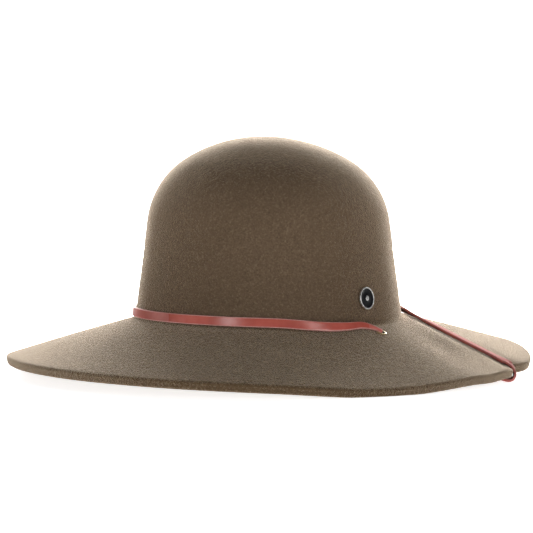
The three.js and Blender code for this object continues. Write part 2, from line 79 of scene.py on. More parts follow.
# The felt's sizes, in millimetres, as the solids have them
HEAD_WIDTH = 167
HEAD_LENGTH = 200
FELT = 3
CROWN_HEIGHT = 117.5
DOME_RADIUS = 102
SHOULDER_RADIUS = 54
WALL_TAPER = radians(7.25)
THROAT_RADIUS = 3
BREAK_HEIGHT = 34.5
CROWN_LEAN = -3.4
BRIM_WIDTH = 83
BRIM_SLOPE_INNER = radians(22)
BRIM_SLOPE_OUTER = radians(11.5)
HEM_WIDTH = 9
HEM_THICKNESS = 6
HEM_CORNER = 1.8
HEM_FOOT = 2.5
BASE_X = HEAD_WIDTH / 2 + FELT
BASE_Y = HEAD_LENGTH / 2 + FELT

# Going round from the front to the wearer's left: the angle, how high the brim's edge is above what the hat
# lies on, and how far the middle of the brim bellies up. Below zero the felt is pressed flat.
WAVES = np.array([
    (0, 3, 0), (22.5, -0.9, 0), (45, 2.2, 0), (67.5, 2.9, 0),
    (90, 6.5, 0.6), (112.5, 10, 2.8), (135, 8.5, 2.4), (157.5, 2, 1),
    (180, -0.9, 0), (202.5, -0.9, 0), (225, -0.7, 0), (247.5, 2, 2),
    (270, 5.4, 2.6), (292.5, 6.4, 0.5), (315, 6.2, 0), (337.5, 5.2, 0),
])
_, WAVE_EDGE, WAVE_BELLY = WAVES.T
LIFT_AT_BREAK = 0.4
LIFT_UP_WALL = 40

# The lace, in millimetres
LACE_WIDTH = 5.9
LACE_THICKNESS = 1.9
LACE_CORNER = 0.55
LACE_ROUND = 1.3
LACE_RISE = 1
LACE_LEAVES_UP = 6.9
LACE_DIPS = 3
LACE_STANDS_OFF = 4.2
LACE_LEAN = radians(9)
NOTCH_AT = radians(68)
NOTCH_DEPTH = 8
NOTCH_SPREAD = 9
WRAP_SLACK = 0.6
CLEAR_BELOW = 0.1
WRAP_DRIFT = 18
WALL_TO_EYELET = radians(9)
UNDER_START = 14
UNDER_STEPS = 7
PAST_LIP = 0.6

# How the lace bends into the eyelet: how far it goes straight on, and how high over the eyelet and how far
# before it the bend is drawn to
BEND_ONWARD = 6
BEND_UP = 1.2
BEND_BEFORE = 2.6
BEND_UNDER = 5

# The groove, ridge and hollow that the tight lace pulls into the brim: how high each is, how far it lies in
# front of the lace and how wide it is, as shares of the crease's height and width, and how much of it
# reaches the edge
CREASE_HEIGHT = 1.5
CREASE_WIDTH = 6
CREASE_LENGTH = 170
CREASE_FOLDS = [
    dict(height=-1.7, ahead=0.5, width=1.1, at_edge=0.2),
    dict(height=0.75, ahead=3.2, width=1.5, at_edge=0.4),
    dict(height=-0.8, ahead=6.6, width=1.9, at_edge=0.4),
]

# The eyelet and the badge, in millimetres
EYELET_AT = radians(46)
EYELET_OUT = 9.5
EYELET_HOLE = 2.3
EYELET_WALL = 0.4
EYELET_FLANGE = 3.4
EYELET_LIP = 0.8
LACE_IN_HOLE = 0.95
BADGE_AT = radians(45.5)
BADGE_HEIGHT = 17
BADGE_RADIUS = 7
BADGE_THICKNESS = 1.5
BADGE_RIM = 0.8
ENAMEL_DEPTH = 0.8
STUD_RADIUS = 1.6
POST_RADIUS = 0.9
BUTTON_RADIUS = 4
BUTTON_THICKNESS = 1.2
GAP = 0.3

# In metres, where the lace has left the crown, to the side, and where the brim begins, going down
LACE_OFF_CROWN = 0.0895
BRIM_NAP_TOP = 0.037
BRIM_NAP_BLEND = 0.004
BRIM_NAP_MORE = 1.2

# Mesh steps: along the dome, shoulder, wall, throat and brim, outside and inside, then in the lace and round
# the hat
OUTSIDE_STEPS = (36, 34, 22, 8, 84)
INSIDE_STEPS = (10, 10, 8, 4, 18)
LACE_STEP = radians(4.5)
LACE_FINER = 5
WRAP_STEPS = 8
CHORD_STEPS = 14
COLUMNS = 384
COLUMN_CROWDING = 0.5
SHEAR_REACH = radians(90)
CREASE_REACH = 18


def unit(v):
    v = np.asarray(v, float)
    return v / np.linalg.norm(v, axis=-1, keepdims=True)


def smoothstep(x, low, high):
    t = np.clip((x - low) / (high - low), 0, 1)
    return t * t * (3 - 2 * t)


def lerp(a, b, share):
    return a + (b - a) * share


# Points on an arc, and the way along it at each
def arc(centre, radius, start, end, steps):
    turn = np.linspace(start, end, steps + 1)
    round_to = np.stack([np.cos(turn), np.sin(turn)], 1)
    along = np.stack([-np.sin(turn), np.cos(turn)], 1) * math.copysign(1, end - start)
    return np.asarray(centre) + radius * round_to, along


# The felt's outline in one upright section, from the top of the crown to the edge of the brim: x is the
# distance out, y the height above the break, which is where the crown's wall would meet the brim
def outside_curves(steps):
    wall_out = np.array([math.cos(WALL_TAPER), math.sin(WALL_TAPER)])
    wall_up = np.array([-math.sin(WALL_TAPER), math.cos(WALL_TAPER)])
    foot = np.array([BASE_X, 0.0])
    dome_centre = np.array([0.0, CROWN_HEIGHT - DOME_RADIUS])
    start_centre = foot - SHOULDER_RADIUS * wall_out
    to_start = start_centre - dome_centre
    along = to_start @ wall_up
    rise = -along + math.sqrt(along**2 + (DOME_RADIUS - SHOULDER_RADIUS) ** 2 - to_start @ to_start)
    shoulder_centre = start_centre + rise * wall_up
    from_dome = shoulder_centre - dome_centre
    dome_end = math.atan2(from_dome[1], from_dome[0])

    turn = math.pi / 2 - WALL_TAPER - BRIM_SLOPE_INNER
    throat_reach = THROAT_RADIUS * math.tan(turn / 2)
    throat_top = foot + throat_reach * wall_up
    throat_centre = throat_top + THROAT_RADIUS * wall_out
    brim_start = foot + throat_reach * np.array([math.cos(BRIM_SLOPE_INNER), -math.sin(BRIM_SLOPE_INNER)])

    edge_down = np.array([math.cos(BRIM_SLOPE_OUTER), -math.sin(BRIM_SLOPE_OUTER)])
    edge_up = np.array([math.sin(BRIM_SLOPE_OUTER), math.cos(BRIM_SLOPE_OUTER)])
    corner_back = HEM_CORNER - HEM_CORNER * math.sin(BRIM_SLOPE_OUTER)
    level = BASE_X + BRIM_WIDTH - corner_back - brim_start[0]
    bend = brim_start + np.array([level / 2, -level / 2 * math.tan(BRIM_SLOPE_INNER)])
    brim_end = bend + np.array([level / 2, -level / 2 * math.tan(BRIM_SLOPE_OUTER)])

    dome = arc(dome_centre, DOME_RADIUS, math.pi / 2, dome_end, steps[0])
    shoulder = arc(shoulder_centre, SHOULDER_RADIUS, dome_end, WALL_TAPER, steps[1])
    share = np.linspace(0, 1, steps[2] + 1)[:, None]
    wall = lerp(shoulder[0][-1], throat_top, share), np.repeat(-wall_up[None], steps[2] + 1, 0)
    throat_start, throat_end = math.pi + WALL_TAPER, math.pi * 1.5 - BRIM_SLOPE_INNER
    throat = arc(throat_centre, THROAT_RADIUS, throat_start, throat_end, steps[3])
    t = np.linspace(0, 1, steps[4] + 1)[:, None]
    brim = (
        (1 - t) ** 2 * brim_start + 2 * t * (1 - t) * bend + t**2 * brim_end,
        unit((1 - t) * (bend - brim_start) + t * (brim_end - bend)),
    )
    points, alongs = [], []
    for number, (place, way) in enumerate([dome, shoulder, wall, throat, brim]):
        points.append(place[number > 0 :])
        alongs.append(way[number > 0 :])
    return np.concatenate(points), np.concatenate(alongs), brim_end, edge_down, edge_up


OUTSIDE, _, brim_end, edge_down, edge_up = outside_curves(OUTSIDE_STEPS)
OUTSIDE[0, 0] = 0


# A point of the hem, by its distance out and down from the brim's end
def in_hem(across, down):
    return brim_end + across * edge_down - down * edge_up


coarse, coarse_along, *_ = outside_curves(INSIDE_STEPS)
inside = coarse + FELT * np.stack([coarse_along[:, 1], -coarse_along[:, 0]], 1)
inside[0, 0] = 0
hem_start = in_hem(-HEM_WIDTH, FELT)
INSIDE = np.concatenate([inside[inside[:, 0] < hem_start[0] - HEM_CORNER], [hem_start]])

# The hem: a round corner at the top, a band that is a little hollow, and a rounded foot below it
HEM_HOLLOW = 0.12
HEM_CREST = 2
HEM_STEP = 0.9
hem = []
for turn in np.radians([20, 40, 60, 78, 90]):
    hem.append(in_hem(HEM_CORNER * math.sin(turn), HEM_CORNER * (1 - math.cos(turn))))
for share in np.linspace(0.1, 0.9, 7):
    down = lerp(HEM_CORNER, HEM_THICKNESS - HEM_CORNER, share)
    hem.append(in_hem(HEM_CORNER - HEM_HOLLOW * math.sin(math.pi * share), down))
for turn in np.radians([0, 20, 40, 60, 75, 90]):
    hem.append(in_hem(HEM_CORNER * math.cos(turn), HEM_THICKNESS - HEM_CORNER * (1 - math.sin(turn))))
HEM_FOOT_AT = in_hem(HEM_CORNER - HEM_WIDTH, HEM_THICKNESS)
hem.append(in_hem(-HEM_FOOT, HEM_THICKNESS))
hem.append(in_hem(-HEM_FOOT - HEM_CREST, HEM_THICKNESS))
hem.append(HEM_FOOT_AT)
hem.append(in_hem(HEM_CORNER / 3 - HEM_WIDTH, HEM_THICKNESS - HEM_STEP))
hem.append(in_hem(-HEM_WIDTH, (HEM_THICKNESS + FELT) / 2))
HEM = np.array(hem)
HEM_MIDDLE = in_hem(HEM_CORNER - HEM_THICKNESS / 2, HEM_THICKNESS / 2)
EDGE_FOOT = HEM[:, 1].min()


# One column of the table of waves at an angle, on a smooth closed curve through its rows
def wave_at(angle, column):
    count = len(column)
    place = np.mod(np.degrees(angle), 360) / (360 / count)
    row = np.floor(place).astype(int)
    before, low, high, after = (column[(row + step) % count] for step in (-1, 0, 1, 2))
    share = place - row
    slope_low = (high - before) / 2
    slope_high = (after - low) / 2
    bulge = 3 * (high - low) - 2 * slope_low - slope_high
    close = 2 * (low - high) + slope_low + slope_high
    return low + share * (slope_low + share * (bulge + share * close))


# How much of that lift a point takes, by its distance out and its height above the break
def lift_share(out, height):
    across = np.clip((out - BASE_X) / BRIM_WIDTH, 0, 1)
    up_wall = np.clip(1 - height / LIFT_UP_WALL, 0, 1)
    return np.where(height > 0, LIFT_AT_BREAK * up_wall**2, lerp(LIFT_AT_BREAK, 1, across**1.4))


def plan_outward(angle):
    return unit(np.stack([BASE_Y * np.sin(angle), -BASE_X * np.cos(angle)], -1))


# A plan position: the head's oval, narrowing to a point at the top, with the brim the same width all round
def plan_point(out, angle):
    out, angle = np.broadcast_arrays(out, angle)
    inward = np.clip(1 - out / BASE_X, 0, 1)
    half_width = np.minimum(out, BASE_X)
    half_length = half_width + (BASE_Y - BASE_X) * (1 - inward**2)
    oval = np.stack([half_width * np.sin(angle), -half_length * np.cos(angle)], -1)
    return oval + plan_outward(angle) * np.maximum(0, out - BASE_X)[..., None]


LACE_OUT = GAP + LACE_THICKNESS / 2
EDGE_NOTCH = plan_point(BASE_X + BRIM_WIDTH, NOTCH_AT)
NOTCH = EDGE_NOTCH - NOTCH_DEPTH * plan_outward(NOTCH_AT)
LACE_MID = LACE_RISE + LACE_WIDTH / 2
lace_set_in = LACE_OUT - (LACE_MID + LACE_LEAVES_UP) * math.tan(WALL_TAPER)
lace_oval = np.array([BASE_X + lace_set_in, BASE_Y + lace_set_in])
towards = np.array([NOTCH[0] / lace_oval[0], -NOTCH[1] / lace_oval[1]])
LEAVE_AT = math.atan2(*towards) + math.acos(1 / np.linalg.norm(towards))
LEAVE = np.array([lace_oval[0] * math.sin(LEAVE_AT), -lace_oval[1] * math.cos(LEAVE_AT)])
LACE_WAY = unit(LEAVE - NOTCH)
LACE_SIDE = np.array([-LACE_WAY[1], LACE_WAY[0]])


# The angle, between two others, at which a level line crosses the felt at a distance out
def angle_on_line(out, point, side, low, high):
    for _ in range(40):
        middle = (low + high) / 2
        same = ((plan_point(out, middle) - point) @ side) * ((plan_point(out, low) - point) @ side) > 0
        low, high = (middle, high) if same else (low, middle)
    return low


# The lift of the creased felt at a plan position
def crease_lift(plan):
    start = plan - NOTCH
    along = start @ LACE_WAY / CREASE_LENGTH
    ahead = start @ LACE_SIDE / CREASE_WIDTH
    inward = smoothstep(along, 0, 0.2)
    shape = 0
    for fold in CREASE_FOLDS:
        apart = (ahead - fold["ahead"]) / fold["width"]
        shape = shape + fold["height"] * lerp(fold["at_edge"], 1, inward) * np.exp(-(apart**2))
    return CREASE_HEIGHT * np.sqrt(np.clip(1 - along, 0, 1)) * shape


# Points of the felt in space, from their places in the section and their angles
def felt_point(out, height, angle):
    out, height, angle = np.broadcast_arrays(*(np.asarray(x, float) for x in (out, height, angle)))
    plan = plan_point(out, angle)
    across = np.clip((out - BASE_X) / BRIM_WIDTH, 0, 1.1)
    z = BREAK_HEIGHT + height
    z = z + (wave_at(angle, WAVE_EDGE) - BREAK_HEIGHT - EDGE_FOOT) * lift_share(out, height)
    z = z + wave_at(angle, WAVE_BELLY) * np.maximum(0, 4 * across * (1 - across))
    z = z + crease_lift(plan) * np.minimum(1, across * 3)
    along = np.linalg.norm(plan - EDGE_NOTCH, axis=-1) / NOTCH_SPREAD
    pull = np.where(across > 0, NOTCH_DEPTH * np.exp(-(along**2) / 2), 0)
    plan = plan - pull[..., None] * plan_outward(NOTCH_AT)
    climb = np.clip(height / CROWN_HEIGHT, 0, 1)
    return np.stack([plan[..., 0] + CROWN_LEAN * climb**6, plan[..., 1], np.maximum(z, 0)], -1)


# A point on the wall outside, the direction out of the felt there, and the direction up it
def wall_frame(height, angle):
    at, above, beside = (
        felt_point(BASE_X - up * math.tan(WALL_TAPER), up, turn)
        for up, turn in [(height, angle), (height + 1, angle), (height, angle + 0.01)]
    )
    up, round_way = unit(above - at), unit(beside - at)
    return at, unit(np.cross(round_way, up)), up


# A point on the top or the underside of the brim, and the direction out of the felt there
def brim_frame(points, out, angle, outwards):
    low = np.flatnonzero((points[1:, 0] >= out) & (points[:-1, 0] <= out))[0]
    slope = (points[low + 1, 1] - points[low, 1]) / (points[low + 1, 0] - points[low, 0])
    at_height = points[low, 1] + slope * (out - points[low, 0])
    at = felt_point(out, at_height, angle)
    away = felt_point(out + 1, at_height + slope, angle) - at
    round_way = felt_point(out, at_height, angle + 0.01) - at
    return at, -outwards * unit(np.cross(round_way, away))


BRIM_TOP = OUTSIDE[-OUTSIDE_STEPS[-1] - 1 :]
BRIM_UNDERSIDE = INSIDE[INSIDE[:, 1] < THROAT_RADIUS + 2]
eyelet_at, eyelet_out = brim_frame(BRIM_TOP, BASE_X + EYELET_OUT, EYELET_AT, 1)
badge_at, badge_out, _ = wall_frame(BADGE_HEIGHT, BADGE_AT)


# An object from points in millimetres and faces
def make_object(name, vertices, faces, smooth=True):
    mesh = bpy.data.meshes.new(name)
    mesh.from_pydata([tuple(v) for v in np.asarray(vertices) * MM], [], faces)
    mesh.validate()
    for polygon in mesh.polygons:
        polygon.use_smooth = smooth
    made = bpy.data.objects.new(name, mesh)
    bpy.context.scene.collection.objects.link(made)
    return made


def grid_faces(rows, columns, close_rows, close_columns):
    faces = []
    for row in range(rows if close_rows else rows - 1):
        for column in range(columns if close_columns else columns - 1):
            low, high = row * columns, ((row + 1) % rows) * columns
            here, beside = column, (column + 1) % columns
            faces.append((low + here, high + here, high + beside, low + beside))
    return faces


# The felt, with its columns closer together round the notch and turned there to run along the crease
def felt_mesh():
    profile = np.concatenate([OUTSIDE[1:], HEM, INSIDE[:0:-1]])
    even = (np.arange(COLUMNS) + 0.5) / COLUMNS * 2 * math.pi - math.pi
    columns = even - COLUMN_CROWDING * np.sin(even)
    share = np.cos(np.clip(columns / SHEAR_REACH, -1, 1) * math.pi / 2) ** 2
    on_crease = [
        angle_on_line(max(out, BASE_X + CREASE_REACH), NOTCH, LACE_SIDE, NOTCH_AT - SHEAR_REACH, LEAVE_AT)
        for out in profile[:, 0]
    ]
    angles = NOTCH_AT + columns[None] + (np.array(on_crease) - NOTCH_AT)[:, None] * share[None]
    points = felt_point(profile[:, 0][:, None], profile[:, 1][:, None], angles)
    rows = len(profile)
    top = felt_point(0, OUTSIDE[0, 1], 0)
    under = felt_point(0, INSIDE[0, 1], 0)
    vertices = np.concatenate([points.reshape(-1, 3), [top, under]])
    faces = grid_faces(rows, COLUMNS, False, True)
    count = rows * COLUMNS
    for column in range(COLUMNS):
        beside = (column + 1) % COLUMNS
        faces.append((count, column, beside))
        faces.append((count + 1, count - COLUMNS + beside, count - COLUMNS + column))
    return vertices, faces


# A ring or disc turned from its half section, standing on a seat in the felt
def lathe(name, at, out, points, steps=64):
    out = unit(out)
    side = unit(np.cross(out, [0, 0, 1] if abs(out[2]) < 0.9 else [0, 1, 0]))
    other = np.cross(out, side)
    turn = np.arange(steps) / steps * 2 * math.pi
    ring = np.cos(turn)[:, None] * side + np.sin(turn)[:, None] * other
    vertices = np.array([at + radius * ring + height * out for radius, height in points]).reshape(-1, 3)
    return make_object(name, vertices, grid_faces(len(points), steps, True, True))


def cut_hole(target, at, out, radius):
    reach, middle = FELT * 3, 0.01
    tube = [(radius, -reach), (radius, reach), (middle, reach), (middle, -reach)]
    cutter = lathe("cutter", at, out, tube, 48)
    cut = target.modifiers.new("hole", "BOOLEAN")
    cut.object = cutter
    cut.operation = "DIFFERENCE"
    cut.solver = "MANIFOLD"
    graph = bpy.context.evaluated_depsgraph_get()
    made = bpy.data.meshes.new_from_object(target.evaluated_get(graph))
    target.modifiers.clear()
    old = target.data
    target.data = made
    bpy.data.meshes.remove(old)
    bpy.data.objects.remove(cutter)


def facing_out(target):
    shape = bmesh.new()
    shape.from_mesh(target.data)
    bmesh.ops.recalc_face_normals(shape, faces=shape.faces)
    shape.to_mesh(target.data)
    shape.free()


felt = make_object("felt", *felt_mesh())
facing_out(felt)


def bezier(a, b, c, d, t):
    return (1 - t) ** 3 * a + 3 * t * (1 - t) ** 2 * b + 3 * t**2 * (1 - t) * c + t**3 * d


# The lace's stations: a place for the middle of its section, the way its smooth side faces, and how far it is
# rolled up into a round
def lace_stations():
    stations = []

    def add(at, out, rolled=0.0):
        stations.append((np.asarray(at), unit(out), float(rolled)))

    def seat_on(at, out):
        return at + LACE_OUT * out

    # Round the crown, a little higher where it leaves and lower where it comes to the eyelet
    wall_end = EYELET_AT + 2 * math.pi - WALL_TO_EYELET
    steps = round((wall_end - LEAVE_AT) / LACE_STEP)
    for step in range(steps + 1):
        angle = lerp(LEAVE_AT, wall_end, step / steps)
        left = smoothstep(LEAVE_AT + radians(90) - angle, 0, radians(90))
        dips = smoothstep(angle - wall_end, -radians(35), 0)
        at, out, up = wall_frame(LACE_MID + LACE_LEAVES_UP * left - LACE_DIPS * dips, angle)
        at = at + LACE_STANDS_OFF * dips * out
        out = unit(out + up * dips * 0.4)
        add(seat_on(at, out), out, 0.4 * smoothstep(step - steps, -3, 1))

    # Down through the eyelet
    last, before = stations[-1], stations[-2]
    onward = unit(last[0] - before[0])
    middle = eyelet_at - eyelet_out * FELT / 2 - onward * LACE_IN_HOLE
    straight = FELT / 2 + GAP + EYELET_LIP + PAST_LIP
    forward = np.append(plan_outward(EYELET_AT), 0)

    for share in (0.2, 0.4, 0.6, 0.75, 0.9, 1):
        at = bezier(
            last[0], last[0] + BEND_ONWARD * onward,
            middle + (straight + BEND_UP) * eyelet_out - BEND_BEFORE * onward,
            middle + straight * eyelet_out, share)
        add(at, lerp(last[1], forward, share), 0.4 + 0.6 * smoothstep(share, 0.1, 0.75))
    for share in (0.25, 0.5, 0.75, 1):
        turn = math.pi * share
        side = np.cross(eyelet_out, forward)
        twisted = forward * math.cos(turn) + side * math.sin(turn)
        twisted = twisted + eyelet_out * (eyelet_out @ forward) * (1 - math.cos(turn))
        add(middle + lerp(straight, -straight, share) * eyelet_out, twisted, 1)

    # Along the underside to the brim's edge, level with the notch
    def wrap_angle(share):
        return NOTCH_AT - WRAP_DRIFT * (1 - share) / (BASE_X + BRIM_WIDTH)

    start = plan_point(BASE_X + EYELET_OUT, EYELET_AT)
    under = unit(felt_point(*HEM_MIDDLE, wrap_angle(0))[:2] - start)
    under_side = np.array([-under[1], under[0]])

    def under_angle(out):
        return angle_on_line(out, start, under_side, EYELET_AT - radians(20), NOTCH_AT + radians(10))

    def under_place(out):
        return brim_frame(BRIM_UNDERSIDE, out, under_angle(out), -1)

    first = under_place(BASE_X + EYELET_OUT + UNDER_START)
    second = under_place(BASE_X + EYELET_OUT + UNDER_START + 5)
    back = unit(seat_on(*first) - seat_on(*second))
    for share in (0.15, 0.35, 0.55, 0.75):
        at = bezier(
            middle - straight * eyelet_out, middle - (straight + BEND_UNDER) * eyelet_out,
            seat_on(*first) + BEND_ONWARD * back, seat_on(*first), share)
        add(at, lerp(-forward, first[1], share), 1 - smoothstep(share, 0, 0.9))
    under_end = BASE_X + BRIM_WIDTH - HEM_WIDTH - 12
    for step in range(UNDER_STEPS + 1):
        out = lerp(BASE_X + EYELET_OUT + UNDER_START, under_end, step / UNDER_STEPS)
        at, away = under_place(out)
        add(seat_on(at, away), away)
    below = HEM_FOOT_AT[0], HEM_FOOT_AT[1] - LACE_OUT - WRAP_SLACK / 2
    add(felt_point(*below, under_angle(below[0])), (0, 0, -1))

    # Round the edge
    reach = HEM_THICKNESS / 2 + LACE_OUT + WRAP_SLACK
    for step in range(WRAP_STEPS + 1):
        turn = -math.pi / 2 + math.pi * step / WRAP_STEPS
        angle = wrap_angle(step / WRAP_STEPS)
        at = felt_point(HEM_MIDDLE[0] + reach * math.cos(turn), HEM_MIDDLE[1] + reach * math.sin(turn), angle)
        add(at, np.append(plan_outward(angle) * math.cos(turn), math.sin(turn)))

    # Straight and tight to the crown, turning upright on the way
    top, begin = stations[-1][0], stations[0][0]
    for step in range(1, CHORD_STEPS):
        share = step / CHORD_STEPS
        upright = smoothstep(share, 0.35, 0.97) ** 2
        lean = lerp(LACE_LEAN, math.pi / 2 - WALL_TAPER, upright)
        add(lerp(top, begin, share), np.append(-LACE_SIDE * math.sin(lean), math.cos(lean)))
    return stations


# A smooth closed curve through the values, with more steps between them
def through(values, finer):
    values = np.asarray(values, float)
    if values.ndim == 1:
        values = values[:, None]
    before, after = np.roll(values, 1, 0), np.roll(values, -1, 0)
    later = np.roll(values, -2, 0)
    made = []
    for t in np.arange(finer) / finer:
        made.append(
            0.5 * (2 * values + (after - before) * t + (2 * before - 5 * values + 4 * after - later) * t**2
                   + (3 * values - before - 3 * after + later) * t**3))
    return np.stack(made, 1).reshape(-1, values.shape[1])


# The flat lace cut across, with round corners
def lace_section(steps=4):
    wide, thick, corner = LACE_WIDTH / 2, LACE_THICKNESS / 2, LACE_CORNER
    points = []
    for number, (x, y) in enumerate([(1, 1), (-1, 1), (-1, -1), (1, -1)]):
        for step in range(steps + 1):
            turn = (number + step / steps) * math.pi / 2
            across = x * (wide - corner) + corner * math.cos(turn)
            up = y * (thick - corner) + corner * math.sin(turn)
            points.append((across, up))
        if number % 2 == 0:
            for share in (0.2, 0.4, 0.6, 0.8):
                points.append((lerp(x * (wide - corner), -x * (wide - corner), share), y * thick))
    return np.array(points)


def lace_mesh():
    stations = lace_stations()
    places, ways, rolls = zip(*stations)
    at = through(places, LACE_FINER)
    out = unit(through(ways, LACE_FINER))
    rolled = np.clip(through(rolls, LACE_FINER), 0, 1)
    along = unit(np.roll(at, -1, 0) - np.roll(at, 1, 0))
    side = unit(np.cross(out, along))
    face = np.cross(along, side)
    section = lace_section()
    turn = np.arctan2(section[:, 1] / LACE_THICKNESS, section[:, 0] / LACE_WIDTH)
    around = LACE_ROUND * np.stack([np.cos(turn), np.sin(turn)], 1)
    shape = lerp(section[None], around[None], rolled[:, :, None])
    vertices = at[:, None] + shape[..., :1] * side[:, None] + shape[..., 1:] * face[:, None]
    raise_by = np.maximum(0, CLEAR_BELOW - vertices[..., 2].min(1))
    vertices[..., 2] += raise_by[:, None]
    return vertices.reshape(-1, 3), grid_faces(len(at), len(section), True, True), len(section)


lace_vertices, lace_faces, lace_around = lace_mesh()
lace = make_object("lace_cord", lace_vertices, lace_faces)
facing_out(lace)

cut_hole(felt, eyelet_at, eyelet_out, EYELET_HOLE + EYELET_WALL + GAP)
cut_hole(felt, badge_at, badge_out, POST_RADIUS + GAP)
for polygon in felt.data.polygons:
    polygon.use_smooth = True


# The eyelet, turned from its half section: a rounded flange on each side of the felt
def rounded_corners(points, radius, steps=3):
    made = []
    count = len(points)
    for number in range(count):
        here = np.array(points[number], float)
        to_last = np.array(points[number - 1], float) - here
        to_next = np.array(points[(number + 1) % count], float) - here
        reach = min(radius, np.linalg.norm(to_last) * 0.45, np.linalg.norm(to_next) * 0.45)
        first, last = here + unit(to_last) * reach, here + unit(to_next) * reach
        for step in range(steps + 1):
            t = step / steps
            made.append(tuple((1 - t) ** 2 * first + 2 * t * (1 - t) * here + t**2 * last))
    return made


inner, outer = FELT / 2 + GAP, FELT / 2 + GAP + EYELET_LIP
barrel = EYELET_HOLE + EYELET_WALL
eyelet = lathe("eyelet_ring", eyelet_at - eyelet_out * FELT / 2, eyelet_out, rounded_corners([
    (EYELET_HOLE, -outer), (EYELET_FLANGE, -outer), (EYELET_FLANGE, -inner), (barrel, -inner),
    (barrel, inner), (EYELET_FLANGE, inner), (EYELET_FLANGE, outer), (EYELET_HOLE, outer),
], 0.35), 72)
facing_out(eyelet)

badge_top = GAP + BADGE_THICKNESS
dish_floor = badge_top - ENAMEL_DEPTH
button_back = -FELT - GAP - BUTTON_THICKNESS
in_rim = BADGE_RADIUS - BADGE_RIM
badge = lathe("badge_disc", badge_at, badge_out, rounded_corners([
    (0.02, button_back), (POST_RADIUS, button_back), (POST_RADIUS, GAP), (BADGE_RADIUS, GAP),
    (BADGE_RADIUS, badge_top), (in_rim, badge_top), (in_rim, dish_floor), (STUD_RADIUS, dish_floor),
    (STUD_RADIUS, badge_top), (0.02, badge_top),
], 0.3), 96)
facing_out(badge)
enamel_low, enamel_high = dish_floor + 0.02, badge_top - 0.3
enamel = lathe("badge_inlay", badge_at, badge_out, [
    (STUD_RADIUS + 0.02, enamel_low), (in_rim - 0.02, enamel_low), (in_rim - 0.02, enamel_high + 0.12),
    (in_rim - 0.4, enamel_high + 0.02), (lerp(STUD_RADIUS, in_rim, 0.5), enamel_high - 0.03),
    (STUD_RADIUS + 0.4, enamel_high + 0.02), (STUD_RADIUS + 0.02, enamel_high + 0.12),
], 96)
facing_out(enamel)
button = lathe("badge_back", badge_at, badge_out, rounded_corners([
    (POST_RADIUS + 0.05, button_back), (BUTTON_RADIUS, button_back),
    (BUTTON_RADIUS, button_back + BUTTON_THICKNESS), (POST_RADIUS + 0.05, button_back + BUTTON_THICKNESS),
], 0.4), 64)
facing_out(button)

for piece, node, slot in [
    (felt, "felt_body", "felt"), (lace, "lace", "lace"), (eyelet, "eyelet", "eyelet"),
    (badge, "badge", "badge"), (enamel, "badge_enamel", "enamel"), (button, "badge_button", "badge"),
]:
    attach(piece, "root")
    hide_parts(node)


# A colour as it looks on a screen, from 0 to 255, in linear light
def rgb(red, green, blue):
    def linear(value):
        value /= 255
        return value / 12.92 if value <= 0.04045 else ((value + 0.055) / 1.055) ** 2.4

    return linear(red), linear(green), linear(blue)


